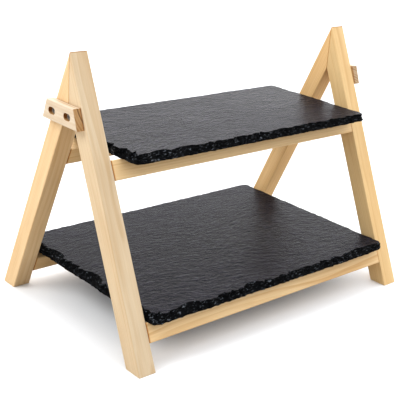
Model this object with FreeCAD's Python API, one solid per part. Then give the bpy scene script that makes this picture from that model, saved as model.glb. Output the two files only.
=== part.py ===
import FreeCAD, Part
import math
import os

# Tiered cake stand: two A-frames of square pine stock, joined by rails that
# carry two loose slates.  X runs along the stand, Y from front (-) to back (+)
# and Z up.  The origin is on the floor under the middle of the stand.

# Frame, millimetres.
frame_length = 384.0
frame_height = 285.0
frame_depth = 254.0
stock = 20.0
arris_radius = 1.0
foot_bevel = 0.8

# Underside of each slate above the floor.
upper_tier_height = 188.0
lower_tier_height = 44.0

# Slates.
slate_thickness = 9.0
slate_end_gap = {"upper": {"left": 10.0, "right": 1.0}, "lower": {"left": 0.5, "right": 0.5}}
slate_shift_back = {"upper": 7.8, "lower": 0.0}
upper_slate_overhang = 35.6
lower_slate_overhang = 12.5
slate_corner_radius = 4.0
slate_edge_slope_depth = 6.0
slate_edge_slope_width = 3.0

# Dowels that hold the rail ends.
dowel_radius = 3.0
dowel_in_leg = 11.0
dowel_in_rail = 18.0
dowel_end_gap = 1.0
dowel_tip_bevel = 0.6

# Cleats across the tops of the A-frames, each screwed on a little off centre.
cleat_thickness = 9.0
cleat_height = 20.0
cleat_length = 53.3
cleat_end_angle = 20.0
cleat_arris_radius = 0.7
cleat_centre_height = {"left": 226.0, "right": 230.5}
cleat_shift_back = {"left": 2.4, "right": 1.3}

# Cleat screws, each sunk in a counterbore longer than it is tall.
screw_spacing = 26.3
counterbore_radius = 3.5
counterbore_run = 4.4
counterbore_depth = 4.6
screw_head_radius = 3.3
screw_head_height = 2.2
screw_head_rounding = 0.9
screw_shank_radius = 1.75
screw_shank_gap = 0.25
screw_length = 22.0
screw_tip_length = 4.0
screw_tip_radius = 0.4
pilot_end_gap = 1.0
recess_arm_length = 4.2
recess_arm_width = 0.9
recess_depth = 1.3

# Edges nearer than this to a plane or a direction lie on it.
tolerance = 1e-6

# Worked out from the sizes above.
Vector = FreeCAD.Vector
origin = Vector(0, 0, 0)
along_x = Vector(1, 0, 0)
along_y = Vector(0, 1, 0)
along_z = Vector(0, 0, 1)

half_length = frame_length / 2
rail_half_length = half_length - stock
lean = math.atan2(frame_depth / 2, frame_height)
outer_face_length = math.hypot(frame_depth / 2, frame_height)
arris_drop = arris_radius * (math.cos(lean) + math.sin(lean) - 1)


def outer_face_y(height):
    """Distance of the legs' outer faces from the middle plane at a height."""
    return (frame_height - height) * math.tan(lean)


def rail_slope_top(tier_height):
    """Distance from the ridge, down the outer face, to the top of a rail.

    The slate lies on the rail's rounded top arris, a little below its sharp corner.
    """
    return (frame_height - tier_height - arris_drop) / math.cos(lean)


def seat_y(tier_height):
    """Distance from the middle plane to the line where a slate bears on a rail."""
    corner_y = rail_slope_top(tier_height) * math.sin(lean)
    return corner_y - arris_radius * (math.cos(lean) - math.sin(lean))


def rounded_bar(length_x, slope_top, slope_bottom, x_low, direction):
    """Square bar hanging from the ridge line, with its long arrises rounded."""
    bar = Part.makeBox(length_x, stock, slope_bottom - slope_top,
                       Vector(x_low, 0, -slope_bottom))
    long_edges = [edge for edge in bar.Edges
                  if edge.tangentAt(edge.FirstParameter).cross(direction).Length < tolerance]
    return bar.makeFillet(arris_radius, long_edges)


def leaned(shape):
    """Swings a hanging shape out to the slope of the front ladder."""
    shape.rotate(origin, along_x, -math.degrees(lean))
    shape.translate(Vector(0, 0, frame_height))
    return shape


def placed(shape, row, side):
    """Carries a front left shape to the row and side where it belongs."""
    if row == "back":
        shape = shape.mirror(origin, along_y)
    if side == "right":
        shape = shape.mirror(origin, along_x)
    return shape


def hanging_rail_bore(tier_height, x_low, length):
    """Cylinder along the middle of a rail, before it is leaned."""
    middle = rail_slope_top(tier_height) + stock / 2
    return Part.makeCylinder(dowel_radius, length, Vector(x_low, stock / 2, -middle), along_x)


def dowel_bore(tier_height):
    """Blind hole from inside the left leg through to the depth in the rail's end."""
    leg_depth = dowel_in_leg + dowel_end_gap
    rail_depth = dowel_in_rail + dowel_end_gap
    bore = hanging_rail_bore(tier_height, -rail_half_length - leg_depth, leg_depth + rail_depth)
    return leaned(bore)


def front_left_dowel(tier_height):
    """Fluteless dowel with bevelled ends, half in the leg and half in the rail."""
    dowel = hanging_rail_bore(tier_height, -rail_half_length - dowel_in_leg,
                              dowel_in_leg + dowel_in_rail)
    rims = [edge for edge in dowel.Edges if edge.Closed]
    return leaned(dowel.makeChamfer(dowel_tip_bevel, rims))


def x_cylinder(radius, x_from, x_to):
    """Cylinder on a screw's own axis, between two places along X."""
    return Part.makeCylinder(radius, x_to - x_from, Vector(x_from, 0, 0), along_x)


def at_screw(shape, row, side):
    """Carries a left screw's shape, made about its own axis, to its place in the stand."""
    from_cleat = screw_spacing / 2 if row == "back" else -screw_spacing / 2
    shape = placed(shape, "front", side)
    shape.translate(Vector(0, from_cleat + cleat_shift_back[side], cleat_centre_height[side]))
    return shape


def screw_under_head_x():
    """Place on the left where the screw head bears on the counterbore's floor."""
    return -half_length - cleat_thickness + counterbore_depth


def screw_tip_x():
    return screw_under_head_x() + screw_length


def leg(row, side):
    """Leg with its ridge mitre, its foot and the bores for its dowels and its screw."""
    bar = rounded_bar(stock, 0, outer_face_length, -half_length, along_z)
    front_half = Part.makeBox(frame_length, frame_depth, frame_height,
                              Vector(-half_length, -frame_depth, 0))
    timber = leaned(bar).common(front_half)
    foot_edges = [edge for edge in timber.Edges if edge.BoundBox.ZMax < tolerance]
    timber = timber.makeChamfer(foot_bevel, foot_edges)
    for tier_height in (upper_tier_height, lower_tier_height):
        timber = timber.cut(dowel_bore(tier_height))
    pilot = x_cylinder(screw_shank_radius, -half_length, screw_tip_x() + pilot_end_gap)
    return placed(timber, row, side).cut(at_screw(pilot, row, side))


def front_rail(tier_height):
    slope_top = rail_slope_top(tier_height)
    rail = leaned(rounded_bar(2 * rail_half_length, slope_top, slope_top + stock,
                              -rail_half_length, along_x))
    bore = dowel_bore(tier_height)
    return rail.cut(bore).cut(bore.mirror(origin, along_x))


def cleat(side):
    """Strip with sloped ends, counterbored for its two screws."""
    taper = cleat_height / 2 * math.tan(math.radians(cleat_end_angle))
    y_low = cleat_length / 2 + taper
    y_high = cleat_length / 2 - taper
    x_back = -half_length
    corners = [Vector(x_back, -y_low, -cleat_height / 2),
               Vector(x_back, y_low, -cleat_height / 2),
               Vector(x_back, y_high, cleat_height / 2),
               Vector(x_back, -y_high, cleat_height / 2)]
    outline = Part.makePolygon(corners + corners[:1])
    block = Part.Face(outline).extrude(Vector(-cleat_thickness, 0, 0))
    free_edges = [edge for edge in block.Edges if edge.BoundBox.XMax < x_back - tolerance]
    strip = placed(block.makeFillet(cleat_arris_radius, free_edges), "front", side)
    strip.translate(Vector(0, cleat_shift_back[side], cleat_centre_height[side]))
    outer_x = x_back - cleat_thickness
    end = x_cylinder(counterbore_radius, outer_x, screw_under_head_x())
    half_run = Vector(0, counterbore_run / 2, 0)
    between = Part.makeBox(counterbore_depth, counterbore_run, 2 * counterbore_radius,
                           Vector(outer_x, -counterbore_run / 2, -counterbore_radius))
    counterbore = end.translated(half_run).fuse(end.translated(-half_run)).fuse(between)
    counterbore = counterbore.removeSplitter()
    clearance = x_cylinder(screw_shank_radius + screw_shank_gap, outer_x, x_back)
    for row in ("front", "back"):
        strip = strip.cut(at_screw(counterbore.fuse(clearance), row, side))
    return strip


def screw(row, side):
    """Pan-head wood screw, its head sunk below the cleat's face."""
    under_head = screw_under_head_x()
    head = x_cylinder(screw_head_radius, under_head - screw_head_height, under_head)
    rim = [edge for edge in head.Edges
           if edge.Closed and edge.BoundBox.XMax < under_head - tolerance]
    head = head.makeFillet(screw_head_rounding, rim)
    shank_end = screw_tip_x() - screw_tip_length
    shank = x_cylinder(screw_shank_radius, under_head, shank_end)
    tip = Part.makeCone(screw_shank_radius, screw_tip_radius, screw_tip_length,
                        Vector(shank_end, 0, 0), along_x)
    whole = head.fuse(shank).fuse(tip)
    recess_x = under_head - screw_head_height
    for size_y, size_z in ((recess_arm_length, recess_arm_width),
                           (recess_arm_width, recess_arm_length)):
        corner = Vector(recess_x, -size_y / 2, -size_z / 2)
        whole = whole.cut(Part.makeBox(recess_depth, size_y, size_z, corner))
    return at_screw(whole, row, side)


def rounded_rectangle(half_x, half_y, corner_radius, height):
    """Closed outline round the origin, one line and one quarter arc to each side."""
    straight_x = half_x - corner_radius
    straight_y = half_y - corner_radius
    corner_centres = ((straight_x, straight_y), (-straight_x, straight_y),
                      (-straight_x, -straight_y), (straight_x, -straight_y))
    points = []
    for quarter, (x, y) in enumerate(corner_centres):
        for part_turn in (0, 0.5, 1):
            angle = (quarter + part_turn) * math.pi / 2
            points.append(Vector(x + corner_radius * math.cos(angle),
                                 y + corner_radius * math.sin(angle), height))
    edges = []
    for first in range(0, len(points), 3):
        start, middle, end = points[first:first + 3]
        edges.append(Part.Arc(start, middle, end).toShape())
        edges.append(Part.makeLine(end, points[(first + 3) % len(points)]))
    return Part.Wire(edges)


def slate(tier, tier_height, overhang):
    """Slab with rounded corners, its edges dressed back to a slope above a square foot."""
    gap = slate_end_gap[tier]
    half_x = rail_half_length - (gap["left"] + gap["right"]) / 2
    half_y = seat_y(tier_height) + overhang
    top = tier_height + slate_thickness
    slope_foot = top - slate_edge_slope_depth
    full = rounded_rectangle(half_x, half_y, slate_corner_radius, tier_height)
    lower_part = Part.Face(full).extrude(Vector(0, 0, slope_foot - tier_height))
    slope_start = rounded_rectangle(half_x, half_y, slate_corner_radius, slope_foot)
    slope_end = rounded_rectangle(half_x - slate_edge_slope_width,
                                  half_y - slate_edge_slope_width,
                                  slate_corner_radius - slate_edge_slope_width, top)
    upper_part = Part.makeLoft([slope_start, slope_end], True, True)
    slab = lower_part.fuse(upper_part).removeSplitter()
    slab.translate(Vector((gap["left"] - gap["right"]) / 2, slate_shift_back[tier], 0))
    return slab


# Every physical piece is a node of its own.
nodes = {}
tiers = {"upper": upper_tier_height, "lower": lower_tier_height}

for row in ("front", "back"):
    for side in ("left", "right"):
        nodes[f"{row}_{side}_leg"] = leg(row, side)
        nodes[f"{side}_{row}_screw"] = screw(row, side)
    for tier, tier_height in tiers.items():
        nodes[f"{row}_{tier}_rail"] = placed(front_rail(tier_height), row, "left")
        for side in ("left", "right"):
            dowel = front_left_dowel(tier_height)
            nodes[f"{row}_{tier}_{side}_dowel"] = placed(dowel, row, side)

for side in ("left", "right"):
    nodes[f"{side}_cleat"] = cleat(side)

nodes["upper_slate"] = slate("upper", upper_tier_height, upper_slate_overhang)
nodes["lower_slate"] = slate("lower", lower_tier_height, lower_slate_overhang)

os.makedirs("parts", exist_ok=True)
for name, shape in nodes.items():
    shape.exportStep(f"parts/{name}.step")
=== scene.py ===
import math

import bmesh
import bpy
import numpy as np
from bpy.props import FloatProperty, FloatVectorProperty, IntProperty, PointerProperty
from mathutils import Matrix, Vector


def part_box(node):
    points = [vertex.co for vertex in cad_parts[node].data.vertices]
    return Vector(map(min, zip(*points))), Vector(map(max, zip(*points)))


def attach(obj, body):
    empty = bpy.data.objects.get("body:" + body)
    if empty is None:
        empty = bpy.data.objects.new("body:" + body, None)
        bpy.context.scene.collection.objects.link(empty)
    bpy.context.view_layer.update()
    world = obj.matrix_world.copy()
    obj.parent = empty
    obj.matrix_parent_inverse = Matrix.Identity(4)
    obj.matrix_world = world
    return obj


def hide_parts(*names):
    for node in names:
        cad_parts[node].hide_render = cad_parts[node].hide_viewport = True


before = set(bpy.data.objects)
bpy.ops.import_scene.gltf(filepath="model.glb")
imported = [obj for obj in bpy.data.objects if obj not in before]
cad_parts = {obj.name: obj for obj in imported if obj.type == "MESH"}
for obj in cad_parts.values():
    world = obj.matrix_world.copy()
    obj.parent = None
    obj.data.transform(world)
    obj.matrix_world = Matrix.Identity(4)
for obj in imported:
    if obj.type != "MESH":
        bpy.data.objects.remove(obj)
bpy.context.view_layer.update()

bl_info = {
    "name": "Tiered Cake Stand",
    "version": (1, 0, 0),
    "blender": (4, 5, 0),
    "location": "View3D > Sidebar > Cake Stand",
    "description": "Finishes a slate and pine cake stand around its frame",
    "category": "Object",
}

ROWS = ("front", "back")
SIDES = ("left", "right")
TIERS = ("upper", "lower")
LIE_DOWN = Matrix.Rotation(math.pi / 2, 4, "Y")


# ---------------------------------------------------------------- sizes read from the frame

def box_centre(node):
    low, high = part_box(node)
    return (Vector(low) + Vector(high)) / 2


def box_size(node):
    low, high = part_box(node)
    return Vector(high) - Vector(low)


stock = box_size("front_left_leg").x
stand_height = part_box("front_left_leg")[1][2]
leg_x = -box_centre("front_left_leg").x
rail_length = box_size("front_upper_rail").x
ladder_step = box_centre("front_upper_rail") - box_centre("front_lower_rail")
lean = math.atan2(ladder_step.y, ladder_step.z)


def ladder_matrix(row):
    """Carries a bar hanging from the ridge to the slope of the front or back ladder."""
    hang = Matrix.Translation((0, 0, stand_height)) @ Matrix.Rotation(-lean, 4, "X")
    if row == "front":
        return hang
    return Matrix.Rotation(math.pi, 4, "Z") @ hang


# ---------------------------------------------------------------- node tree helper

class Wiring:
    """Adds nodes to a tree and joins their sockets."""

    def __init__(self, tree):
        self.tree = tree

    def feed(self, socket, value):
        if isinstance(value, bpy.types.NodeSocket):
            self.tree.links.new(value, socket)
        else:
            socket.default_value = value

    def add(self, kind, inputs=None, **settings):
        node = self.tree.nodes.new(kind)
        for name, value in settings.items():
            setattr(node, name, value)
        for key, value in (inputs or {}).items():
            self.feed(node.inputs[key], value)
        return node

    def calc(self, operation, *values, clamp=False):
        node = self.add("ShaderNodeMath", operation=operation, use_clamp=clamp)
        for socket, value in zip(node.inputs, values):
            self.feed(socket, value)
        return node.outputs[0]

    def times(self, *values, clamp=False):
        return self.calc("MULTIPLY", *values, clamp=clamp)

    def plus(self, *values, clamp=False):
        return self.calc("ADD", *values, clamp=clamp)

    def minus(self, *values):
        return self.calc("SUBTRACT", *values)

    def vector(self, operation, *values):
        node = self.add("ShaderNodeVectorMath", operation=operation)
        for socket, value in zip(node.inputs, values):
            self.feed(socket, value)
        return node.outputs[0]

    def scale(self, colour, share):
        node = self.add("ShaderNodeVectorMath", {0: colour, 3: share}, operation="SCALE")
        return node.outputs[0]

    def place(self):
        """Coordinates fixed to the piece, in metres."""
        return self.add("ShaderNodeTexCoord").outputs["Object"]

    def noise(self, vector, scale, detail=2.0, roughness=0.5, distortion=0.0):
        node = self.add("ShaderNodeTexNoise", {
            "Vector": vector, "Scale": scale, "Detail": detail,
            "Roughness": roughness, "Distortion": distortion})
        return node.outputs["Fac"]

    def drawn_noise(self, vector, density, detail=2.0, roughness=0.5, distortion=0.0):
        """Noise drawn out along the axes, from its features per metre on each."""
        drawn = self.vector("MULTIPLY", vector, density)
        return self.noise(drawn, 1.0, detail, roughness, distortion)

    def remap(self, value, low, high, to_low=0.0, to_high=1.0, smooth=False):
        kind = "SMOOTHSTEP" if smooth else "LINEAR"
        node = self.add("ShaderNodeMapRange", {
            0: value, 1: low, 2: high, 3: to_low, 4: to_high}, interpolation_type=kind)
        return node.outputs[0]

    def mix(self, factor, first, second):
        """Blends two colours."""
        node = self.add("ShaderNodeMix", {0: factor, 6: first, 7: second}, data_type="RGBA")
        return node.outputs[2]

    def bump(self, shader, strength, distance, height):
        node = self.add("ShaderNodeBump", {
            "Strength": strength, "Distance": distance, "Height": height})
        self.feed(shader.inputs["Normal"], node.outputs["Normal"])


def new_group(name, kind, inputs, outputs):
    """Node group with named sockets: returns its wiring, what it is given and what it gives."""
    group = bpy.data.node_groups.new(name, kind)
    for label, socket_type, default in inputs:
        socket = group.interface.new_socket(label, in_out="INPUT", socket_type=socket_type)
        if default is not None:
            socket.default_value = default
    for label, socket_type in outputs:
        group.interface.new_socket(label, in_out="OUTPUT", socket_type=socket_type)
    wiring = Wiring(group)
    entry = wiring.add("NodeGroupInput")
    leave = wiring.add("NodeGroupOutput")
    return wiring, entry.outputs, leave.inputs


def new_material(name):
    """Material with a bare Principled BSDF: returns it, its wiring and the shader node."""
    material = bpy.data.materials.new(name)
    material.use_nodes = True
    shader = material.node_tree.nodes["Principled BSDF"]
    return material, Wiring(material.node_tree), shader


# ---------------------------------------------------------------- properties

class TimberSettings(bpy.types.PropertyGroup):
    arris_radius: FloatProperty(
        name="Arris radius", description="Rounding along the edges of the stock",
        default=0.0011, min=0.0002, max=0.004, unit="LENGTH")
    end_ease: FloatProperty(
        name="End easing", description="Rounding round the sawn ends of the stock",
        default=0.0005, min=0.0001, max=0.002, unit="LENGTH")
    seam_width: FloatProperty(
        name="Seam width", description="Width over which a joint's stain fades",
        default=0.0009, min=0.0001, max=0.002, unit="LENGTH")
    ring_spacing: FloatProperty(
        name="Ring spacing", description="Distance between growth rings",
        default=0.0019, min=0.0005, max=0.01, unit="LENGTH")
    pale: FloatVectorProperty(
        name="Early wood", description="Colour of the pale wood between the rings",
        default=(0.76, 0.53, 0.275), min=0, max=1, subtype="COLOR")
    late: FloatVectorProperty(
        name="Late wood", description="Colour of the growth rings",
        default=(0.59, 0.335, 0.125), min=0, max=1, subtype="COLOR")
    cleat_slope: FloatProperty(
        name="Cleat end slope", description="How far a cleat's end leans for each unit of height",
        default=0.364, min=0, max=1)
    counterbore_radius: FloatProperty(
        name="Counterbore radius", description="Radius at the ends of a cleat's sunk screw holes",
        default=0.0035, min=0.002, max=0.01, unit="LENGTH")
    counterbore_run: FloatProperty(
        name="Counterbore run", description="Straight length of a cleat's sunk screw holes",
        default=0.0044, min=0, max=0.01, unit="LENGTH")
    clearance_radius: FloatProperty(
        name="Clearance radius", description="Radius of the hole for a screw's shank",
        default=0.0020, min=0.001, max=0.005, unit="LENGTH")
    head_height: FloatProperty(
        name="Head height", description="Height of a screw head above its seat",
        default=0.0022, min=0.001, max=0.005, unit="LENGTH")
    dowel: FloatVectorProperty(
        name="Dowel wood", description="Colour of the harder wood of the dowels",
        default=(0.58, 0.38, 0.21), min=0, max=1, subtype="COLOR")


class SlateSettings(bpy.types.PropertyGroup):
    cell: FloatProperty(
        name="Mesh cell", description="Spacing of the mesh over a slate's faces",
        default=0.0015, min=0.0008, max=0.01, unit="LENGTH")
    rim: FloatProperty(
        name="Rim width", description="Width of the band that holds the dressed edge",
        default=0.012, min=0.008, max=0.03, unit="LENGTH")
    chip_width: FloatProperty(
        name="Chip width", description="Usual width of a chip along the edge",
        default=0.010, min=0.003, max=0.03, unit="LENGTH")
    chip_depth: FloatProperty(
        name="Chip depth", description="How far a usual chip bites into the top face",
        default=0.0040, min=0.0005, max=0.008, unit="LENGTH")
    relief: FloatProperty(
        name="Cleft relief", description="Height of the riven surface's unevenness",
        default=0.00042, min=0.0, max=0.002, unit="LENGTH")
    seed: IntProperty(
        name="Seed", description="Picks another pattern of chips and clefts",
        default=4, min=0)
    face: FloatVectorProperty(
        name="Face", description="Colour of the riven faces",
        default=(0.0092, 0.0086, 0.0132), min=0, max=1, subtype="COLOR")
    edge: FloatVectorProperty(
        name="Dressed edge", description="Colour of the freshly broken edge",
        default=(0.0014, 0.0016, 0.0020), min=0, max=1, subtype="COLOR")


class StageSettings(bpy.types.PropertyGroup):
    eye: FloatVectorProperty(
        name="Camera place", description="Where the camera stands",
        default=(-0.6546, -0.7054, 0.4570), subtype="TRANSLATION", unit="LENGTH")
    heading: FloatProperty(
        name="Heading", description="Direction of view, from +Y towards +X",
        default=math.radians(41.41), subtype="ANGLE")
    pitch: FloatProperty(
        name="Pitch", description="Angle of view above the horizon",
        default=math.radians(-20.24), subtype="ANGLE")
    roll: FloatProperty(
        name="Roll", description="Lean of the camera, its right side up",
        default=math.radians(3.705), subtype="ANGLE")
    focal_length: FloatProperty(
        name="Focal length", description="Focal length on a 36 mm sensor",
        default=81.93, min=10, max=300)
    shift: FloatVectorProperty(
        name="Lens shift", description="Sideways and upward shift of the lens",
        size=2, default=(0.0265, -0.0064))
    sky: FloatProperty(
        name="Surround", description="Strength of the light from all round",
        default=0.72, min=0, max=5)
    backdrop: FloatProperty(
        name="Backdrop", description="Strength of the bright backdrop behind the stand",
        default=2.9, min=0, max=10)


# ---------------------------------------------------------------- pine

# Share of the side grain's red, green and blue that cut ends and glued seams keep; the seams'
# share also paints shade on the walls of the cleats' sunk holes.
CUT_END_SHARE = (0.54, 0.37, 0.19)
SEAM_STAIN_AND_HOLE_SHADE_SHARE = (0.68, 0.46, 0.24)
CLEAT_CREASE = math.radians(35)


def make_grain_group():
    """Growth rings and fibres of a bar whose grain runs along its vector's Z."""
    wiring, given, out = new_group("Pine Grain", "ShaderNodeTree", (
        ("Vector", "NodeSocketVector", None),
        ("End Grain", "NodeSocketFloat", 0.0),
        ("Seam", "NodeSocketFloat", 0.0),
        ("Ring Spacing", "NodeSocketFloat", 0.0024),
        ("Ring Strength", "NodeSocketFloat", 0.5),
        ("Early Wood", "NodeSocketColor", (0.8, 0.6, 0.37, 1)),
        ("Late Wood", "NodeSocketColor", (0.66, 0.41, 0.19, 1))), (
        ("Colour", "NodeSocketColor"),
        ("Roughness", "NodeSocketFloat"),
        ("Height", "NodeSocketFloat")))
    place = given["Vector"]
    cut_end = given["End Grain"]

    # Growth rings: circles about the log's heart that wander a little along it. Each year's
    # line darkens slowly and ends sharply, and some years are stronger than others.
    drift = wiring.vector("MULTIPLY", place, (22.0, 22.0, 5.0))
    wander = wiring.add("ShaderNodeTexNoise", {"Vector": drift, "Scale": 1.0, "Detail": 2.0})
    pull = wiring.vector("SUBTRACT", wander.outputs["Color"], (0.5, 0.5, 0.5))
    pull = wiring.vector("MULTIPLY", pull, (0.007, 0.007, 0.0))
    bent = wiring.vector("ADD", place, pull)
    flat = wiring.vector("MULTIPLY", bent, (1.0, 1.0, 0.0))
    radius = wiring.add("ShaderNodeVectorMath", {0: flat}, operation="LENGTH").outputs["Value"]
    turns = wiring.calc("DIVIDE", radius, given["Ring Spacing"])
    phase = wiring.calc("FRACT", turns)
    rise = wiring.remap(phase, 0.20, 0.86, smooth=True)
    fall = wiring.remap(phase, 0.88, 0.99, 1.0, 0.0, smooth=True)
    ring = wiring.times(rise, fall)
    year = wiring.calc("FLOOR", turns)
    year_noise = wiring.add("ShaderNodeTexWhiteNoise", {"W": year}, noise_dimensions="1D")
    year_weight = wiring.remap(year_noise.outputs["Value"], 0.1, 1.0, 0.12, 1.0)
    ring = wiring.times(ring, year_weight)

    # Fibres, streaks and clouds, all drawn out along the log.
    fibre = wiring.drawn_noise(place, (2600.0, 2600.0, 40.0), 3.0, 0.6)
    streak = wiring.drawn_noise(place, (520.0, 520.0, 6.0), 3.0, 0.55)
    cloud = wiring.drawn_noise(place, (70.0, 70.0, 9.0))

    # Side grain first, then the darker cut ends, then the seams' stain over both, which also
    # paints shade on the walls of the cleats' sunk holes.
    strength = wiring.times(ring, given["Ring Strength"])
    strength = wiring.times(strength, wiring.plus(wiring.times(cut_end, 3.0), 1.0))
    vigour = wiring.times(given["Ring Strength"], 1.1, clamp=True)
    streaky = wiring.times(vigour, wiring.remap(streak, 0.40, 0.72, 0.0, 0.42))
    broad = wiring.remap(cloud, 0.42, 0.70, 0.0, 0.34)
    factor = wiring.plus(wiring.plus(strength, streaky), broad, clamp=True)
    base = wiring.mix(factor, given["Early Wood"], given["Late Wood"])
    fibre_tone = wiring.remap(fibre, 0.3, 0.7, 0.92, 1.04)
    toned = wiring.scale(base, fibre_tone)
    end_ring = wiring.remap(ring, 0.15, 0.75, 1.22, 0.50)
    end_tone = wiring.scale(wiring.vector("MULTIPLY", toned, CUT_END_SHARE), end_ring)
    colour = wiring.mix(cut_end, toned, end_tone)
    seam_and_hole_shade_tone = wiring.vector("MULTIPLY", colour, SEAM_STAIN_AND_HOLE_SHADE_SHARE)
    wiring.feed(out["Colour"], wiring.mix(given["Seam"], colour, seam_and_hole_shade_tone))

    rough = wiring.remap(fibre, 0.2, 0.8, 0.50, 0.64)
    rough = wiring.minus(rough, wiring.times(ring, 0.08))
    wiring.feed(out["Roughness"], wiring.plus(rough, wiring.times(cut_end, 0.2)))
    wiring.feed(out["Height"], wiring.plus(wiring.times(fibre, 0.6), wiring.times(ring, 0.5)))
    return wiring.tree


def pine_material(name, settings, to_log, tone=(1.0, 1.0, 1.0), ring_strength=0.5,
                  early=None, ring_stretch=1.0, end_share=1.0):
    """Pine whose grain follows one piece.

    to_log carries a point of the stand to the log that the piece was sawn from,
    whose heart is the Z axis.
    """
    material, wiring, shader = new_material(name)
    coordinates = wiring.add("ShaderNodeTexCoord").outputs
    turn = to_log.to_euler()
    mapping = wiring.add("ShaderNodeMapping", {
        "Vector": coordinates["Object"], "Location": to_log.to_translation(),
        "Rotation": turn})
    turned = wiring.add("ShaderNodeMapping", {
        "Vector": coordinates["Normal"], "Rotation": turn}, vector_type="NORMAL")
    facing = wiring.add("ShaderNodeSeparateXYZ", {0: turned.outputs["Vector"]}).outputs["Z"]
    # Seam stain at the joints, and painted shade on the walls of the cleats' sunk holes.
    stain = wiring.add("ShaderNodeAttribute", attribute_name="seam_stain_and_hole_shade").outputs["Fac"]
    wood = {}
    for socket, colour in (("Early Wood", early or settings.pale), ("Late Wood", settings.late)):
        wood[socket] = (*[channel * share for channel, share in zip(colour, tone)], 1.0)
    group = bpy.data.node_groups.get("Pine Grain") or make_grain_group()
    grain = wiring.add("ShaderNodeGroup", node_tree=group, inputs={
        "Vector": mapping.outputs["Vector"],
        "End Grain": wiring.remap(wiring.calc("ABSOLUTE", facing), 0.55, 0.95, 0.0, end_share),
        "Seam": wiring.remap(stain, 0.0, 0.6),
        "Ring Spacing": settings.ring_spacing * ring_stretch,
        "Ring Strength": ring_strength, **wood}).outputs
    wiring.feed(shader.inputs["Base Color"], grain["Colour"])
    wiring.feed(shader.inputs["Roughness"], grain["Roughness"])
    wiring.bump(shader, 0.35, 0.00012, grain["Height"])
    shader.inputs["Specular IOR Level"].default_value = 0.35
    return material


def log_matrix(bar_to_stand, number, bearing=None):
    """Takes the stand's frame to a log's, with another place in the log for each piece.

    The bearing is the direction of the log's heart round the piece. The rings show as
    fine lines on the faces that look across it.
    """
    turn_step = 2.4
    nearest = 0.034
    distance_step = 0.006
    log_step = 0.61
    if bearing is None:
        bearing = turn_step * number
    distance = nearest + distance_step * (number % 5)
    heart = Matrix.Translation((distance * math.cos(bearing), distance * math.sin(bearing),
                                log_step * number))
    return heart @ bar_to_stand.inverted()


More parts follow.
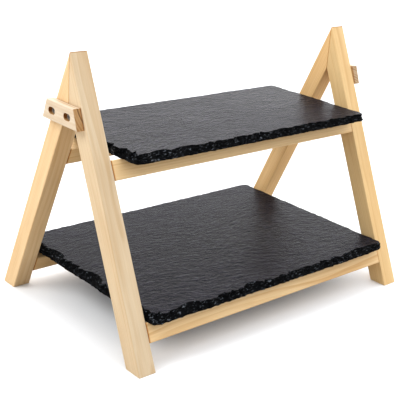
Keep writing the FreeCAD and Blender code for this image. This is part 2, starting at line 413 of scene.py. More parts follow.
def make_bar_tree():
    """Square bar up +Z, its arrises rounded, its ends eased and cut to any slope."""
    wiring, given, out = new_group("Square Bar", "GeometryNodeTree", (
        ("Length", "NodeSocketFloat", 0.3),
        ("Side", "NodeSocketFloat", 0.02),
        ("Arris Radius", "NodeSocketFloat", 0.001),
        ("End Ease", "NodeSocketFloat", 0.0006),
        ("Seam Width", "NodeSocketFloat", 0.0004),
        ("Foot Slope", "NodeSocketFloat", 0.0),
        ("Head Slope", "NodeSocketFloat", 0.0),
        ("Foot Stain", "NodeSocketFloat", 1.0),
        ("Material", "NodeSocketMaterial", None)), (
        ("Geometry", "NodeSocketGeometry"),))
    ease_rings = 4
    seam_ring = ease_rings + 1
    rings = 42
    last = rings - 1
    arris_points = 5
    # Heights of the rings: a quarter round at each end, then the seam, then even steps.
    line = wiring.add("GeometryNodeCurvePrimitiveLine", {"End": (0, 0, 1)})
    line = wiring.add("GeometryNodeResampleCurve", {"Curve": line.outputs[0], "Count": rings})
    index = wiring.add("GeometryNodeInputIndex").outputs[0]
    from_end = wiring.calc("MINIMUM", index, wiring.minus(last, index))
    eased = wiring.calc("DIVIDE", wiring.calc("MINIMUM", from_end, ease_rings), ease_rings)
    angle = wiring.times(eased, math.pi / 2)
    curve_in = wiring.minus(1.0, wiring.calc("COSINE", angle))
    ease_height = wiring.times(curve_in, given["End Ease"])
    seam_end = wiring.plus(given["End Ease"], given["Seam Width"])
    straight = wiring.minus(given["Length"], wiring.times(seam_end, 2.0))
    step = wiring.calc("DIVIDE", straight, last - 2 * seam_ring)
    past_ease = wiring.calc("GREATER_THAN", from_end, ease_rings)
    seam_height = wiring.times(past_ease, given["Seam Width"])
    steps = wiring.calc("MAXIMUM", wiring.minus(from_end, seam_ring), 0.0)
    along = wiring.plus(wiring.plus(ease_height, seam_height), wiring.times(steps, step))
    far_along = wiring.minus(given["Length"], along)
    upper_half = wiring.calc("GREATER_THAN", index, last / 2)
    chosen = wiring.add("ShaderNodeMix", {0: upper_half, 2: along, 3: far_along})
    position = wiring.add("ShaderNodeCombineXYZ", {"Z": chosen.outputs[0]})
    line = wiring.add("GeometryNodeSetPosition", {
        "Geometry": line.outputs[0], "Position": position.outputs[0]})
    lost = wiring.times(wiring.minus(1.0, wiring.calc("SINE", angle)), given["End Ease"])
    half_side = wiring.calc("DIVIDE", given["Side"], 2.0)
    share = wiring.minus(1.0, wiring.calc("DIVIDE", lost, half_side))

    square = wiring.add("GeometryNodeCurvePrimitiveQuadrilateral", {
        "Width": given["Side"], "Height": given["Side"]})
    profile = wiring.add("GeometryNodeFilletCurve", {
        "Curve": square.outputs[0], "Count": arris_points,
        "Radius": given["Arris Radius"]}, mode="POLY")
    at_joint = wiring.times(wiring.minus(1.0, past_ease),
                            wiring.calc("MAXIMUM", upper_half, given["Foot Stain"]))
    line = wiring.add("GeometryNodeStoreNamedAttribute", {
        "Geometry": line.outputs[0], "Name": "seam_stain_and_hole_shade", "Value": at_joint})
    bar = wiring.add("GeometryNodeCurveToMesh", {
        "Curve": line.outputs[0], "Profile Curve": profile.outputs[0],
        "Scale": share, "Fill Caps": True})
    # The ends are sloped by sliding each point along the bar, more or less by its place in Y.
    place = wiring.add("GeometryNodeInputPosition")
    parts = wiring.add("ShaderNodeSeparateXYZ", {0: place.outputs[0]})
    height_share = wiring.calc("DIVIDE", parts.outputs["Z"], given["Length"])
    slope = wiring.add("ShaderNodeMix", {
        0: height_share, 2: given["Foot Slope"], 3: given["Head Slope"]})
    slide = wiring.times(parts.outputs["Y"], slope.outputs[0])
    offset = wiring.add("ShaderNodeCombineXYZ", {"Z": slide})
    bar = wiring.add("GeometryNodeSetPosition", {
        "Geometry": bar.outputs[0], "Offset": offset.outputs[0]})
    bar = wiring.add("GeometryNodeSetShadeSmooth", {"Geometry": bar.outputs[0]})
    bar = wiring.add("GeometryNodeRealizeInstances", {"Geometry": bar.outputs[0]})
    bar = wiring.add("GeometryNodeSetMaterial", {
        "Geometry": bar.outputs[0], "Material": given["Material"]})
    wiring.feed(out["Geometry"], bar.outputs[0])
    return wiring.tree


def make_bar(name, node, bar_to_stand, inputs, material):
    """Finished bar that stands for a CAD node of the frame."""
    tree = bpy.data.node_groups.get("Square Bar") or make_bar_tree()
    holder = bpy.data.objects.new(name + "_raw", bpy.data.meshes.new(name + "_raw"))
    bpy.context.collection.objects.link(holder)
    modifier = holder.modifiers.new("Bar", "NODES")
    modifier.node_group = tree
    values = {**inputs, "Material": material}
    for item in tree.interface.items_tree:
        if item.in_out == "INPUT":
            modifier[item.identifier] = values[item.name]
    weighted = holder.modifiers.new("Weighted", "WEIGHTED_NORMAL")
    weighted.keep_sharp = True
    graph = bpy.context.evaluated_depsgraph_get()
    mesh = bpy.data.meshes.new_from_object(holder.evaluated_get(graph))
    bpy.data.objects.remove(holder)
    mesh.transform(bar_to_stand)
    mesh.name = name
    piece = bpy.data.objects.new(name, mesh)
    bpy.context.collection.objects.link(piece)
    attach(piece, "frame")
    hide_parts(node)


def bar_inputs(settings, length, foot_slope=0.0, head_slope=0.0, foot_stain=1.0):
    """Values for the bar tree's named inputs, for one of the stand's timbers."""
    return {"Length": length, "Side": stock, "Arris Radius": settings.arris_radius,
            "End Ease": settings.end_ease, "Seam Width": settings.seam_width,
            "Foot Slope": foot_slope, "Head Slope": head_slope,
            "Foot Stain": foot_stain}


class CAKESTAND_OT_legs(bpy.types.Operator):
    """Makes the four mitred legs of the two A-frames"""
    bl_idname = "cakestand.legs"
    bl_label = "Legs"

    # Tones differ from leg to leg. The front left leg's pale, greyed tone also stands for the
    # sheen on its lit faces, and the back right leg's lighter tone for the light on its front
    # face: painted light.
    tones_and_painted_light = {"front_left": (0.86, 0.99, 1.30), "front_right": (1.06, 1.09, 1.05),
             "back_left": (1.03, 1.10, 1.26), "back_right": (1.18, 1.15, 1.08)}
    ring_strengths = {"front": 0.42, "back": 0.50}
    bearing_step = 0.12

    def execute(self, context):
        settings = context.scene.cakestand_timber
        foot = stock / 2 * math.tan(lean) - stand_height / math.cos(lean)
        head = -stock / 2 / math.tan(lean)
        inputs = bar_inputs(settings, head - foot, math.tan(lean), -1 / math.tan(lean),
                            foot_stain=0.0)
        for row_number, row in enumerate(ROWS):
            for side_number, side in enumerate(SIDES):
                x = leg_x * (1 if side == "right" else -1) * (1 if row == "front" else -1)
                to_stand = ladder_matrix(row) @ Matrix.Translation((x, stock / 2, foot))
                number = 1 + 2 * row_number + side_number
                log = log_matrix(to_stand, number, math.pi / 2 + self.bearing_step * number)
                place = f"{row}_{side}"
                pine = pine_material(f"Pine {row} {side} leg", settings, log,
                                     self.tones_and_painted_light[place], self.ring_strengths[row])
                make_bar(f"{place}_leg_timber", f"{place}_leg", to_stand, inputs, pine)
        return {"FINISHED"}


class CAKESTAND_OT_rails(bpy.types.Operator):
    """Makes the four rails that carry the slates"""
    bl_idname = "cakestand.rails"
    bl_label = "Rails"

    tone = (1.09, 1.14, 1.20)
    ring_strength = 0.6

    def execute(self, context):
        settings = context.scene.cakestand_timber
        inputs = bar_inputs(settings, rail_length)
        for row_number, row in enumerate(ROWS):
            for tier_number, tier in enumerate(TIERS):
                node = f"{row}_{tier}_rail"
                turn = ladder_matrix(row).to_3x3().to_4x4() @ LIE_DOWN
                along = turn.to_3x3() @ Vector((0, 0, rail_length / 2))
                to_stand = Matrix.Translation(box_centre(node) - along) @ turn
                log = log_matrix(to_stand, 5 + 2 * row_number + tier_number)
                pine = pine_material(f"Pine {row} {tier} rail", settings, log,
                                     self.tone, self.ring_strength)
                make_bar(f"{row}_{tier}_rail_timber", node, to_stand, inputs, pine)
        return {"FINISHED"}


def cleat_holes(side):
    """Places along Y and Z of a cleat's two screw holes."""
    return [box_centre(f"{side}_{row}_screw").yz for row in ROWS]


def slot_outline(centre, radius, run, count):
    """Two half circles drawn apart by a straight run, or a circle when it is zero."""
    points = []
    for step in range(count):
        angle = 2 * math.pi * (step + 0.5) / count
        apart = math.copysign(run / 2, math.cos(angle))
        points.append((centre[0] + apart + radius * math.cos(angle),
                       centre[1] + radius * math.sin(angle)))
    return points


def slot_distance(offset, run):
    """Distance of a point, given from a slot's middle, to the slot's middle line."""
    return math.hypot(max(abs(offset[0]) - run / 2, 0.0), offset[1])


def trapezium(low, high, slope, inset, side_steps=12):
    """Cleat outline drawn in by an inset, with many points along each side."""
    middle = (low.y + high.y) / 2
    half_low = (high.y - low.y) / 2
    height = high.z - low.z
    half_high = half_low - height * slope
    shrink = inset * (math.hypot(1, slope) - slope)
    grow = inset * (math.hypot(1, slope) + slope)
    corners = [(middle - half_low + grow, low.z + inset),
               (middle + half_low - grow, low.z + inset),
               (middle + half_high - shrink, high.z - inset),
               (middle - half_high + shrink, high.z - inset)]
    points = []
    for first, second in zip(corners, corners[1:] + corners[:1]):
        for step in range(side_steps):
            share = step / side_steps
            points.append((first[0] + (second[0] - first[0]) * share,
                           first[1] + (second[1] - first[1]) * share))
    return points


def add_ring(bm, x, outline):
    return [bm.verts.new((x, y, z)) for y, z in outline]


def join_rings(bm, rings):
    for lower, upper in zip(rings[:-1], rings[1:]):
        for step in range(len(lower)):
            after = (step + 1) % len(lower)
            bm.faces.new((lower[step], lower[after], upper[after], upper[step]))


def fill_between(bm, rings):
    edges = []
    for ring in rings:
        edges += [bm.edges.get((ring[step - 1], ring[step])) for step in range(len(ring))]
    bmesh.ops.triangle_fill(bm, use_beauty=True, edges=edges)


def cleat_shell(bm, side, face, back, settings):
    """Rings round a cleat, from its rounded face to its eased back."""
    ease_steps = 4
    radius = settings.arris_radius
    ease = settings.end_ease
    low, high = (Vector(corner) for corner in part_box(f"{side}_cleat"))
    inward = math.copysign(1, back - face)
    quarter = [math.pi / 2 * step / ease_steps for step in range(ease_steps + 1)]
    places = [(face + inward * radius * (1 - math.cos(angle)), radius * (1 - math.sin(angle)))
              for angle in quarter]
    places.append((back - inward * (ease + settings.seam_width), 0.0))
    places += [(back - inward * ease * (1 - math.cos(angle)), ease * (1 - math.sin(angle)))
               for angle in reversed(quarter)]
    rings = [add_ring(bm, x, trapezium(low, high, settings.cleat_slope, inset))
             for x, inset in places]
    join_rings(bm, rings)
    return rings


def sunk_hole(bm, centre, face, seat, back, settings):
    """Rings of a counterbored slot, from a cleat's face in to its back."""
    points = 40
    wide = settings.counterbore_radius
    run = settings.counterbore_run
    clearance = settings.clearance_radius
    lip = settings.end_ease / 2
    inward = math.copysign(lip, back - face)
    # Place along X, radius and straight run of each ring.
    profile = [(face, wide + lip, run), (face + inward * 0.3, wide + lip * 0.3, run),
               (face + inward, wide, run)]
    profile += [(face + (seat - face) * share, wide, run) for share in (0.25, 0.5, 0.75, 1.0)]
    profile += [(seat, (wide + clearance) / 2, run / 2), (seat, clearance, 0.0),
                (back, clearance, 0.0)]
    rings = [add_ring(bm, x, slot_outline(centre, radius, length, points))
             for x, radius, length in profile]
    join_rings(bm, rings)
    return rings


def stain_cleat_and_shade_holes(mesh, holes, back, settings):
    """Marks a cleat's glued back for the seam stain, and the walls of its sunk holes for painted
    shade, darkened the same way.
    """
    hair = 0.00001
    wall = settings.counterbore_radius + hair
    stain = mesh.attributes.new("seam_stain_and_hole_shade", "FLOAT", "POINT")
    for vertex, value in zip(mesh.vertices, stain.data):
        # The hole walls take the darkening as painted shade; the glued back takes it as a stain.
        in_shaded_hole = any(slot_distance(vertex.co.yz - centre, settings.counterbore_run) < wall
                      for centre in holes)
        at_back = abs(vertex.co.x - back) < settings.end_ease + hair
        value.value = 1.0 if in_shaded_hole or at_back else 0.0


def cleat_mesh(side, settings):
    """Strip of pine with sloped ends, rounded edges and two counterbored screw holes."""
    low_x, high_x = (corner[0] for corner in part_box(f"{side}_cleat"))
    face, back = (low_x, high_x) if side == "left" else (high_x, low_x)
    holes = cleat_holes(side)
    bm = bmesh.new()
    shells = [cleat_shell(bm, side, face, back, settings)]
    for row, centre in zip(ROWS, holes):
        head_low, head_high = (corner[0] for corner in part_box(f"{side}_{row}_screw"))
        if side == "left":
            seat = head_low + settings.head_height
        else:
            seat = head_high - settings.head_height
        shells.append(sunk_hole(bm, centre, face, seat, back, settings))
    fill_between(bm, [rings[0] for rings in shells])
    fill_between(bm, [rings[-1] for rings in shells])
    bmesh.ops.recalc_face_normals(bm, faces=bm.faces)
    mesh = bpy.data.meshes.new(f"{side}_cleat_timber")
    bm.to_mesh(mesh)
    bm.free()
    stain_cleat_and_shade_holes(mesh, holes, back, settings)
    mesh.shade_smooth()
    mesh.set_sharp_from_angle(angle=CLEAT_CREASE)
    return mesh


class CAKESTAND_OT_cleats(bpy.types.Operator):
    """Makes the cleats across the outsides of the A-frames"""
    bl_idname = "cakestand.cleats"
    bl_label = "Cleats"

    tone = (0.87, 1.07, 1.64)
    ring_strength = 0.75
    ring_stretch = 1.5
    # The right cleat's end grain is kept paler than the left's as painted light, for the light
    # falling on its end.
    end_shares_and_painted_light = {"left": 1.0, "right": 0.6}

    def execute(self, context):
        settings = context.scene.cakestand_timber
        for number, side in enumerate(SIDES):
            node = f"{side}_cleat"
            across = (Matrix.Translation(box_centre(node))
                      @ Matrix.Rotation(-math.pi / 2, 4, "X"))
            pine = pine_material(f"Pine {side} cleat", settings,
                                 log_matrix(across, 9 + number), self.tone,
                                 self.ring_strength, ring_stretch=self.ring_stretch,
                                 end_share=self.end_shares_and_painted_light[side])
            mesh = cleat_mesh(side, settings)
            mesh.materials.append(pine)
            piece = bpy.data.objects.new(f"{side}_cleat_timber", mesh)
            context.collection.objects.link(piece)
            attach(piece, "frame")
            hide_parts(node)
        return {"FINISHED"}


# ---------------------------------------------------------------- screws and dowels

# Steel tones kept dark partly as painted shade, for the heads sunk in the counterbores.
STEEL_DARK = (0.12, 0.11, 0.10, 1)
STEEL_PALE = (0.30, 0.28, 0.26, 1)


def finish_node(node, material):
    """Gives a node of the frame its material."""
    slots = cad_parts[node].material_slots
    if not slots:
        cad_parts[node].data.materials.append(material)
    for slot in slots:
        slot.material = material


def steel_material():
    """Dark steel with fine scratches, for the screws; its dark tones also stand for the shade in
    the counterbores round the heads (painted shade).
    """
    material, wiring, shader = new_material("Dull Steel")
    place = wiring.place()
    cloud = wiring.noise(place, 900.0, 3.0, 0.6)
    scratch = wiring.drawn_noise(place, (900.0, 900.0, 7000.0))
    tone = wiring.mix(wiring.remap(cloud, 0.3, 0.7), STEEL_DARK, STEEL_PALE)
    wiring.feed(shader.inputs["Base Color"], tone)
    wiring.feed(shader.inputs["Roughness"], wiring.remap(scratch, 0.3, 0.7, 0.26, 0.44))
    wiring.bump(shader, 0.3, 0.00003, scratch)
    shader.inputs["Metallic"].default_value = 0.35
    return material


class CAKESTAND_OT_fastenings(bpy.types.Operator):
    """Finishes the cleat screws and the dowels of the rail joints"""
    bl_idname = "cakestand.fastenings"
    bl_label = "Screws and dowels"

    def execute(self, context):
        settings = context.scene.cakestand_timber
        steel = steel_material()
        for side in SIDES:
            for row in ROWS:
                finish_node(f"{side}_{row}_screw", steel)
        beech = pine_material("Beech dowel", settings, log_matrix(LIE_DOWN, 12),
                              ring_strength=0.3, early=settings.dowel)
        for row in ROWS:
            for tier in TIERS:
                for side in SIDES:
                    finish_node(f"{row}_{tier}_{side}_dowel", beech)
        return {"FINISHED"}


# ---------------------------------------------------------------- slates

# Colour of the painted glints: pale bluish flecks painted onto the broken edge as painted
# highlight.
PAINTED_GLINT_COLOUR = (0.105, 0.122, 0.147, 1)


class Ripple:
    """Smooth seeded noise over a plane, about -1 to 1."""

    cells = 256

    def __init__(self, seed):
        dice = np.random.default_rng(seed)
        self.slopes = dice.uniform(0, 2 * math.pi, (self.cells, self.cells))

    def __call__(self, x, y):
        column = np.floor(x).astype(int)
        row = np.floor(y).astype(int)
        right = x - column
        up = y - row

        def corner(step_x, step_y):
            slope = self.slopes[(column + step_x) % self.cells, (row + step_y) % self.cells]
            return np.cos(slope) * (right - step_x) + np.sin(slope) * (up - step_y)

        ease_x = right * right * (3 - 2 * right)
        ease_y = up * up * (3 - 2 * up)
        low = corner(0, 0) * (1 - ease_x) + corner(1, 0) * ease_x
        high = corner(0, 1) * (1 - ease_x) + corner(1, 1) * ease_x
        return 1.5 * (low * (1 - ease_y) + high * ease_y)


def cleft_relief(x, y, seed):
    """Unevenness of a riven face at places in metres, about -1 to 1."""
    terraces = 2.6
    riser_share = 0.16
    swell = Ripple(seed)(x / 0.050, y / 0.034)
    layer = terraces * Ripple(seed + 1)(x / 0.030 + 0.4 * swell, y / 0.017)
    ledge = np.floor(layer)
    climb = np.clip((layer - ledge) / riser_share, 0, 1)
    terrace = (ledge + climb * climb * (3 - 2 * climb)) / terraces
    ripple = Ripple(seed + 2)(x / 0.0085, y / 0.0048)
    fine = Ripple(seed + 3)(x / 0.0045, y / 0.0030)
    return 0.18 * swell + 0.42 * terrace + 0.26 * ripple + 0.14 * fine


def chip_bites(perimeter, settings, dice):
    """Chips round a slate's edge: middle, half width and depth of each."""
    bites = []
    reached = 0.0
    while reached < perimeter:
        width = settings.chip_width * dice.uniform(0.5, 1.8)
        depth = settings.chip_depth * dice.uniform(0.25, 1.1)
        bites.append((reached + width / 2, width * 0.58, depth))
        reached += width
    # Spacing along the edge, half widths and share of the usual depth: nicks, then big bites.
    for spacing, widths, depths in ((0.012, (0.0018, 0.0040), (0.5, 1.3)),
                                    (0.09, (0.010, 0.022), (1.2, 2.0))):
        for _ in range(int(perimeter / spacing)):
            bites.append((dice.uniform(0, perimeter), dice.uniform(*widths),
                          settings.chip_depth * dice.uniform(*depths)))
    return bites


def bite_depth(along, bites, perimeter):
    """How far the chips reach in from the edge at each place along it."""
    depth = np.zeros_like(along)
    for middle, half_width, deepest in bites:
        gap = np.abs(along - middle)
        gap = np.minimum(gap, perimeter - gap) / half_width
        depth = np.maximum(depth, deepest * np.sqrt(np.clip(1 - gap * gap, 0, 1)))
    return depth


def rim_loop(columns, rows):
    """Grid places once round the outside of a grid, anticlockwise."""
    loop = [(column, 0) for column in range(columns)]
    loop += [(columns, row) for row in range(rows)]
    loop += [(column, rows) for column in range(columns, 0, -1)]
    loop += [(0, row) for row in range(rows, 0, -1)]
    return np.array(loop)


def rounded_outline(points, half_x, half_y, corner):
    """Pulls the points of a rectangle's outline onto its rounded corners."""
    core = np.stack([np.clip(points[:, 0], corner - half_x, half_x - corner),
                     np.clip(points[:, 1], corner - half_y, half_y - corner)], axis=1)
    away = points - core
    reach = np.linalg.norm(away, axis=1, keepdims=True)
    nothing = 1e-9
    in_corner = (np.abs(away[:, :1]) > nothing) & (np.abs(away[:, 1:]) > nothing)
    return np.where(in_corner, core + away / np.maximum(reach, nothing) * corner, points)


def near_side(share, steepness):
    """1 at a side of the outline, falling to 0 inwards, from the share of the way to it."""
    return np.clip(1 - steepness * (1 - share), 0, 1)


class SlateMesh:
    """Builds one slate: riven faces joined by rings that follow the dressed edge."""

    layers = 8
    face_rings = 6
    crowding = 1.3
    crease = math.radians(42)
    corner_radius = 0.0065
    worn_corner = 0.028
    # Height of the broken band's foot above the base, and its least step in to the top face.
    foot_height = 0.0003
    lip_step = 0.0008
    # How far the band's foot and the underside are drawn in, and how much more at the right.
    foot_step = 0.0003
    under_step = 0.0011
    right_step = 0.0016
    # Shares of a chip's depth that the outline and the top face lose.
    outline_share = 0.14
    face_share = 0.95
    # Depth of each row of jags in a layer's broken line, and its length along the edge.
    jags = ((0.0011, 0.0052), (0.0005, 0.0024))
    # Places up the height of a layer, and how far it is drawn in at each.
    layer_profile = ((0.06, 0.00018), (0.5, 0.0), (0.94, 0.00022))
    # Shares of the edge's height at which the chips begin and the foot ends.
    chip_start = 0.16
    foot_end = 0.35
    # How far the chips of a layer lie along the edge from the layer above's.
    layer_drift = 0.0022
    least_inset = 0.0001

    def __init__(self, box, settings, seed):
        low, high = Vector(box[0]), Vector(box[1])
        self.middle = (low + high) / 2
        self.base = low.z
        self.thickness = high.z - low.z
        self.half_x = (high.x - low.x) / 2
        self.half_y = (high.y - low.y) / 2
        self.settings = settings
        self.seed = seed
        self.dice = np.random.default_rng(seed)
        inner_x = self.half_x - settings.rim
        inner_y = self.half_y - settings.rim
        self.columns = round(2 * inner_x / settings.cell)
        self.rows = round(2 * inner_y / settings.cell)
        grid_x, grid_y = np.meshgrid(np.linspace(-inner_x, inner_x, self.columns + 1),
                                     np.linspace(-inner_y, inner_y, self.rows + 1),
                                     indexing="ij")
        self.grid = np.stack([grid_x, grid_y], axis=2)
        self.loop = rim_loop(self.columns, self.rows)
        self.inner = self.grid[self.loop[:, 0], self.loop[:, 1]]
        stretch = np.array([self.half_x / inner_x, self.half_y / inner_y])
        self.outer = rounded_outline(self.inner * stretch, self.half_x, self.half_y,
                                     self.corner_radius)
        steps = np.linalg.norm(np.roll(self.outer, -1, axis=0) - self.outer, axis=1)
        self.along = np.concatenate([[0.0], np.cumsum(steps)[:-1]])
        self.perimeter = steps.sum()
        rightward, backward = (self.outer / [self.half_x, self.half_y]).T
        self.at_back = near_side(backward, 5)
        self.at_right = near_side(rightward, 5)
        self.at_left = near_side(-rightward, 12)

    def top(self, x, y):
        relief = self.settings.relief * cleft_relief(x, y, self.seed)
        return self.thickness + relief

    def underside(self, x, y):
        relief = cleft_relief(x, y, self.seed + 50)
        return self.settings.relief * np.clip(0.7 + 0.5 * relief, 0, None)

    def ring(self, inset):
        share = (inset / self.settings.rim)[:, None]
        return self.outer + (self.inner - self.outer) * share

    def wear(self):
        """Share of the chips' depth round the edge, most at the left end's front corner."""
        from_corner = np.linalg.norm(self.outer + [self.half_x, self.half_y], axis=1)
        near_corner = np.exp(-(from_corner / self.worn_corner) ** 2)
        kept = (1 - 0.75 * self.at_back) * (1 - 0.6 * self.at_right)
        return kept + 0.35 * self.at_left + 0.6 * near_corner

    def rings(self):
        """Rings of points from the underside, up the edge, to the top face's grid.

        Each comes with its heights, and with whether the band above it is broken stone.
        The edge is a stack of thin layers, each broken off along its own line.
        """
        wrinkle = Ripple(self.seed + 90)
        none = np.zeros_like(self.along)
        bites = chip_bites(self.perimeter, self.settings, self.dice)
        wear = self.wear()
        bite = wear * bite_depth(self.along, bites, self.perimeter)
        # Shares of the slate's thickness by which the chips slant along the edge.
        slant = 0.75 + 0.9 * wrinkle(self.along / 0.030, none + 23.9)
        # The outline waves a little everywhere, and is ragged at the back and the right.
        wave = wrinkle(self.along / 0.020, none)
        ragged = np.maximum(self.at_back, self.at_right)
        outline = 0.0002 + self.outline_share * bite + 0.0002 * (1 + wave)
        outline += 0.0005 * ragged * (1 + wrinkle(self.along / 0.009, none + 41.0))
        lip = outline + self.lip_step + self.face_share * bite
        crest = self.top(*self.ring(lip).T)
        # How hollow the chips are, and how far the layers tilt.
        hollow = 0.75 + 0.35 * wrinkle(self.along / 0.009, none + 3.1)
        tilt = 0.00025 * wrinkle(self.along / 0.011, none + 11.7)
        rings = []

        def add_face_ring(inset, surface, broken_above=False):
            place = self.ring(inset)
            rings.append((place, surface(*place.T), broken_above))

        for share in (0.6, 0.3):
            add_face_ring(np.full_like(outline, self.settings.rim * share), self.underside)
        under = outline + self.under_step + self.right_step * self.at_right
        add_face_ring(under, self.underside, broken_above=True)
        for layer in range(self.layers):
            row = none + 5.3 * layer
            jag = sum(depth * wrinkle(self.along / length, row + 0.5 * number)
                      for number, (depth, length) in enumerate(self.jags))
            for level, undercut in self.layer_profile:
                share = (layer + level) / self.layers
                height = self.foot_height + (crest - self.foot_height) * share
                height = height + tilt * math.sin(math.pi * share)
                climb = (share - self.chip_start) / (1 - self.chip_start)
                rise = np.clip(climb, 0, 1) ** hollow
                stagger = self.layer_drift * (layer % 3 - 1)
                drift = (1 - share) * (slant * self.thickness + stagger)
                shifted = np.mod(self.along + drift, self.perimeter)
                scoop = wear * bite_depth(shifted, bites, self.perimeter)
                scoop = self.lip_step + self.face_share * scoop
                # The jags die away towards the top face.
                fade = min(1.0, 3.2 * (1 - share) + 0.25)
                foot = self.foot_step + self.right_step * self.at_right
                foot = foot * max(0.0, 1 - share / self.foot_end) ** 2
                inset = outline + scoop * rise + jag * fade + undercut + foot
                rings.append((self.ring(np.clip(inset, self.least_inset, None)), height, True))
        add_face_ring(lip, self.top)
        for number in range(1, self.face_rings):
            share = (number / self.face_rings) ** self.crowding
            add_face_ring(lip + (self.settings.rim - lip) * share, self.top)
        return rings

    def build(self, name):
        """Mesh with the riven faces in its first material and the broken edge in its second."""
        rings = self.rings()
        count = len(self.loop)
        points = []
        for place, height, broken in rings:
            level = np.broadcast_to(height, (count,))
            points.append(np.column_stack([place, level]))
        for heights in (self.underside, self.top):
            flat = self.grid.reshape(-1, 2)
            points.append(np.column_stack([flat, heights(*flat.T)]))
        points = np.concatenate(points)
        points += np.array([self.middle.x, self.middle.y, self.base])

        ring_total = len(rings) * count
        grid_total = (self.columns + 1) * (self.rows + 1)
        loop_index = self.loop[:, 0] * (self.rows + 1) + self.loop[:, 1]
        chain = [loop_index + ring_total]
        chain += [np.arange(count) + number * count for number in range(len(rings))]
        chain += [loop_index + ring_total + grid_total]
        flags = [False, *(broken for _, _, broken in rings)]
        faces = []
        slots = []
        for lower, upper, broken in zip(chain[:-1], chain[1:], flags):
            faces.append(np.stack([lower, np.roll(lower, -1), np.roll(upper, -1), upper],
                                  axis=1))
            slots.append(np.full(count, int(broken)))
        index = np.arange(grid_total).reshape(self.columns + 1, self.rows + 1)
        quads = np.stack([index[:-1, :-1], index[1:, :-1], index[1:, 1:], index[:-1, 1:]],
                         axis=2).reshape(-1, 4)
        faces.append(quads[:, ::-1] + ring_total)
        faces.append(quads + ring_total + grid_total)
        mesh = bpy.data.meshes.new(name)
        mesh.from_pydata(points.tolist(), [], np.concatenate(faces).tolist())
        slots.append(np.zeros(2 * len(quads), dtype=int))
        mesh.polygons.foreach_set("material_index", np.concatenate(slots).tolist())
        mesh.shade_smooth()
        mesh.set_sharp_from_angle(angle=self.crease)
        return mesh


def make_cleft_group():
    """Fine clefts and grit of a riven face, as a height and a mask of the crests that the face
    material paints paler as painted sheen.
    """
    wiring, given, out = new_group("Riven Cleft", "ShaderNodeTree", (
        ("Vector", "NodeSocketVector", None),), (
        ("Height", "NodeSocketFloat"),
        ("Painted Ridge Sheen", "NodeSocketFloat"),
        ("Grit", "NodeSocketFloat")))
    swirl = wiring.noise(given["Vector"], 5.5, 1.0, 0.5)
    swirl = wiring.times(wiring.minus(swirl, 0.5), 0.12)
    swirl = wiring.add("ShaderNodeCombineXYZ", {"Y": swirl})
    place = wiring.vector("ADD", given["Vector"], swirl.outputs[0])
    waves = wiring.drawn_noise(place, (85.0, 250.0, 60.0), 4.0, 0.6, 0.4)
    ripples = wiring.drawn_noise(place, (230.0, 520.0, 200.0), 3.0, 0.6, 0.4)
    grit = wiring.noise(place, 2600.0, 2.0, 0.6)
    height = wiring.plus(waves, wiring.times(ripples, 0.55))
    wiring.feed(out["Height"], wiring.plus(height, wiring.times(grit, 0.08)))
    painted_sheen_crests = wiring.plus(wiring.times(waves, 0.6), wiring.times(ripples, 0.4))
    wiring.feed(out["Painted Ridge Sheen"], wiring.remap(painted_sheen_crests, 0.47, 0.66))
    wiring.feed(out["Grit"], grit)
    return wiring.tree


def scaled(colour, share):
    """A setting's colour made darker or paler, with a full alpha."""
    return (*[channel * share for channel in colour], 1.0)


def slate_face_material(settings):
    """Dark riven slate with a dull sheen, partly real gloss and partly painted paler on the
    crests of its clefts.
    """
    material, wiring, shader = new_material("Riven Slate")
    place = wiring.place()
    cleft = wiring.add("ShaderNodeGroup", {"Vector": place}, node_tree=make_cleft_group())
    cloud = wiring.noise(place, 28.0, 3.0, 0.55)
    face = wiring.mix(wiring.remap(cloud, 0.3, 0.7), scaled(settings.face, 0.65),
                      scaled(settings.face, 1.0))
    # Painted sheen: the crests of the clefts are painted paler, standing for the sheen they
    # catch.
    face = wiring.mix(cleft.outputs["Painted Ridge Sheen"], face, scaled(settings.face, 2.5))
    wiring.feed(shader.inputs["Base Color"], face)
    wiring.feed(shader.inputs["Roughness"],
                wiring.remap(cleft.outputs["Grit"], 0.3, 0.7, 0.25, 0.37))
    wiring.bump(shader, 1.0, 0.0016, cleft.outputs["Height"])
    shader.inputs["Specular IOR Level"].default_value = 0.023
    return material


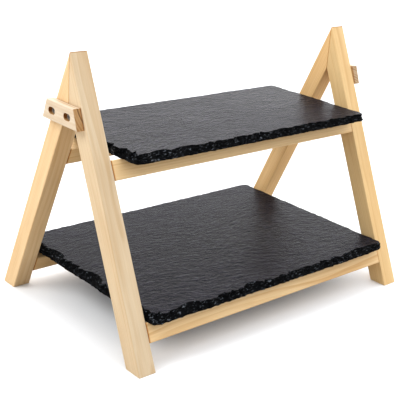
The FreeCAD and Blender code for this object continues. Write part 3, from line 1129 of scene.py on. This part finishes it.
def slate_edge_material(settings):
    """Freshly broken slate: black, with glossy flakes scattered by noise, whose glints are
    painted into the base colour as pale bluish flecks (painted highlight).
    """
    material, wiring, shader = new_material("Broken Slate")
    place = wiring.place()
    height = wiring.add("ShaderNodeSeparateXYZ", {0: place}).outputs["Z"]
    lean_over = wiring.times(height, -1.6)
    lean_over = wiring.add("ShaderNodeCombineXYZ", {"X": lean_over, "Y": lean_over})
    slanted = wiring.vector("ADD", place, lean_over.outputs[0])
    flake = wiring.add("ShaderNodeTexVoronoi", {
        "Vector": wiring.vector("MULTIPLY", slanted, (240.0, 240.0, 560.0)), "Scale": 1.0})
    shell = wiring.drawn_noise(slanted, (280.0, 280.0, 720.0), 3.0, 0.6, 0.8)
    spark = wiring.drawn_noise(slanted, (260.0, 260.0, 850.0), 2.0, 0.6, 0.5)
    glossy_flake_and_painted_glint = wiring.remap(spark, 0.60, 0.71)
    tone = wiring.mix(flake.outputs["Distance"], scaled(settings.edge, 0.8),
                      scaled(settings.edge, 2.0))
    # Painted highlight: the glints are painted into the base colour as pale flecks; the same mask
    # also makes these flakes glossier and coated.
    tone = wiring.mix(wiring.times(glossy_flake_and_painted_glint, 0.8), tone, PAINTED_GLINT_COLOUR)
    wiring.feed(shader.inputs["Base Color"], tone)
    wiring.feed(shader.inputs["Roughness"], wiring.remap(glossy_flake_and_painted_glint, 0.0, 1.0, 0.50, 0.24))
    wiring.feed(shader.inputs["Coat Weight"], wiring.times(glossy_flake_and_painted_glint, 0.35))
    shader.inputs["Coat Roughness"].default_value = 0.22
    relief = wiring.plus(shell, wiring.times(flake.outputs["Distance"], 0.5))
    wiring.bump(shader, 0.9, 0.0009, relief)
    shader.inputs["Specular IOR Level"].default_value = 0.016
    return material


class CAKESTAND_OT_slates(bpy.types.Operator):
    """Makes the two riven slates with their chipped edges"""
    bl_idname = "cakestand.slates"
    bl_label = "Slates"

    def execute(self, context):
        settings = context.scene.cakestand_slate
        materials = (slate_face_material(settings), slate_edge_material(settings))
        for number, tier in enumerate(TIERS):
            node = f"{tier}_slate"
            builder = SlateMesh(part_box(node), settings, settings.seed + 10 * number)
            mesh = builder.build(f"{tier}_riven_slate")
            for material in materials:
                mesh.materials.append(material)
            piece = bpy.data.objects.new(f"{tier}_riven_slate", mesh)
            context.collection.objects.link(piece)
            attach(piece, node)
            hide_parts(node)
        return {"FINISHED"}


# ---------------------------------------------------------------- stage

# Paper's tones as the stand sees it, and as the camera does.
PAPER_BOUNCED = ((0.47, 0.43, 0.38, 1), (0.49, 0.45, 0.40, 1))
PAPER_SEEN = ((0.88, 0.90, 0.93, 1), (0.89, 0.91, 0.94, 1))


def area_light(name, place, target, size, watts, colour):
    """Round light that looks at a target."""
    data = bpy.data.lights.new(name, "AREA")
    data.shape = "DISK"
    data.size = size
    data.energy = watts
    data.color = colour
    light = bpy.data.objects.new(name, data)
    light.location = place
    gaze = Vector(target) - Vector(place)
    light.rotation_euler = gaze.to_track_quat("-Z", "Y").to_euler()
    bpy.context.collection.objects.link(light)


def floor_material():
    """White paper, blown out to the camera as in a high-key picture."""
    material, wiring, shader = new_material("White Paper")
    speck = wiring.noise(wiring.place(), 60.0, 2.0)
    bounced = wiring.mix(speck, *PAPER_BOUNCED)
    seen = wiring.mix(speck, *PAPER_SEEN)
    direct = wiring.add("ShaderNodeLightPath").outputs["Is Camera Ray"]
    wiring.feed(shader.inputs["Base Color"], wiring.mix(direct, bounced, seen))
    shader.inputs["Roughness"].default_value = 0.9
    shader.inputs["Specular IOR Level"].default_value = 0.0
    return material


def camera_matrix(settings):
    """Camera's axes and place from its heading, pitch and roll."""
    level_right = Vector((math.cos(settings.heading), -math.sin(settings.heading), 0))
    ahead = Vector((math.sin(settings.heading) * math.cos(settings.pitch),
                    math.cos(settings.heading) * math.cos(settings.pitch),
                    math.sin(settings.pitch)))
    level_up = level_right.cross(ahead)
    right = math.cos(settings.roll) * level_right + math.sin(settings.roll) * level_up
    up = math.cos(settings.roll) * level_up - math.sin(settings.roll) * level_right
    axes = Matrix((right, up, -ahead)).transposed().to_4x4()
    return Matrix.Translation(settings.eye) @ axes


class CAKESTAND_OT_stage(bpy.types.Operator):
    """Sets out the floor, the lights and the camera"""
    bl_idname = "cakestand.stage"
    bl_label = "Stage"

    floor_half = 8.0
    backdrop_height = math.radians(20)
    backdrop_bearing = math.radians(56)
    # Name, place, target, size, watts and colour of each.
    lights = (
        ("Window", (-1.3, 0.3, 1.35), (0, 0, 0.1), 0.9, 14.5, (1.0, 0.98, 0.95)),
        ("Side fill", (-1.7, 0.1, 0.25), (0, 0, 0.15), 0.6, 4.8, (1.0, 0.97, 0.9)),
        ("Front fill", (0.5, -1.6, 1.0), (0, 0, 0.15), 1.2, 5.5, (1.0, 0.99, 0.97)))

    def execute(self, context):
        settings = context.scene.cakestand_stage
        self.lay_floor(context)
        context.scene.world = self.make_world(settings)
        context.scene.view_settings.view_transform = "Standard"
        for light in self.lights:
            area_light(*light)
        data = bpy.data.cameras.new("Camera")
        data.sensor_width = 36.0
        data.lens = settings.focal_length
        data.shift_x, data.shift_y = settings.shift
        camera = bpy.data.objects.new("Camera", data)
        camera.matrix_world = camera_matrix(settings)
        context.collection.objects.link(camera)
        context.scene.camera = camera
        return {"FINISHED"}

    def lay_floor(self, context):
        half = self.floor_half
        mesh = bpy.data.meshes.new("paper_floor")
        corners = [(-half, -half, 0), (half, -half, 0), (half, half, 0), (-half, half, 0)]
        mesh.from_pydata(corners, [], [(0, 1, 2, 3)])
        mesh.materials.append(floor_material())
        floor = bpy.data.objects.new("paper_floor", mesh)
        context.collection.objects.link(floor)

    def make_world(self, settings):
        """Soft sky that brightens upwards and towards a backdrop behind the stand."""
        world = bpy.data.worlds.new("Studio")
        world.use_nodes = True
        wiring = Wiring(world.node_tree)
        gaze = wiring.add("ShaderNodeTexCoord").outputs["Generated"]
        level = math.cos(self.backdrop_height)
        backdrop = (math.sin(self.backdrop_bearing) * level,
                    math.cos(self.backdrop_bearing) * level, math.sin(self.backdrop_height))
        nearness = wiring.add("ShaderNodeVectorMath", {0: gaze, 1: backdrop},
                              operation="DOT_PRODUCT").outputs["Value"]
        glow = wiring.remap(nearness, 0.1, 0.95, smooth=True)
        rise = wiring.add("ShaderNodeSeparateXYZ", {0: gaze}).outputs["Z"]
        dome = wiring.remap(rise, 0.05, 0.9, settings.sky * 0.55, settings.sky * 1.9, smooth=True)
        gap = wiring.minus(settings.backdrop, dome)
        shade = wiring.plus(dome, wiring.times(gap, glow))
        direct = wiring.add("ShaderNodeLightPath").outputs["Is Camera Ray"]
        shade = wiring.calc("MAXIMUM", shade, wiring.times(direct, 1.2))
        background = world.node_tree.nodes["Background"].inputs
        background["Color"].default_value = (1.0, 1.0, 1.0, 1)
        wiring.feed(background["Strength"], shade)
        return world


class CAKESTAND_PT_panel(bpy.types.Panel):
    """Lists the steps that finish the cake stand"""
    bl_idname = "CAKESTAND_PT_panel"
    bl_label = "Cake Stand"
    bl_space_type = "VIEW_3D"
    bl_region_type = "UI"
    bl_category = "Cake Stand"

    def draw(self, context):
        for operator in STEPS:
            self.layout.operator(operator.bl_idname)
        for group in PROPERTY_NAMES.values():
            settings = getattr(context.scene, group)
            for name in settings.bl_rna.properties.keys():
                if name not in ("rna_type", "name"):
                    self.layout.prop(settings, name)


STEPS = (CAKESTAND_OT_legs, CAKESTAND_OT_rails, CAKESTAND_OT_cleats,
         CAKESTAND_OT_fastenings, CAKESTAND_OT_slates, CAKESTAND_OT_stage)
PROPERTY_NAMES = {TimberSettings: "cakestand_timber", SlateSettings: "cakestand_slate",
                  StageSettings: "cakestand_stage"}


def register():
    for group, name in PROPERTY_NAMES.items():
        bpy.utils.register_class(group)
        setattr(bpy.types.Scene, name, PointerProperty(type=group))
    for step in STEPS:
        bpy.utils.register_class(step)
    bpy.utils.register_class(CAKESTAND_PT_panel)


def unregister():
    bpy.utils.unregister_class(CAKESTAND_PT_panel)
    for step in reversed(STEPS):
        bpy.utils.unregister_class(step)
    for group, name in PROPERTY_NAMES.items():
        delattr(bpy.types.Scene, name)
        bpy.utils.unregister_class(group)


def main():
    register()
    bpy.ops.cakestand.legs()
    bpy.ops.cakestand.rails()
    bpy.ops.cakestand.cleats()
    bpy.ops.cakestand.fastenings()
    bpy.ops.cakestand.slates()
    bpy.ops.cakestand.stage()


if __name__ == "__main__":
    main()
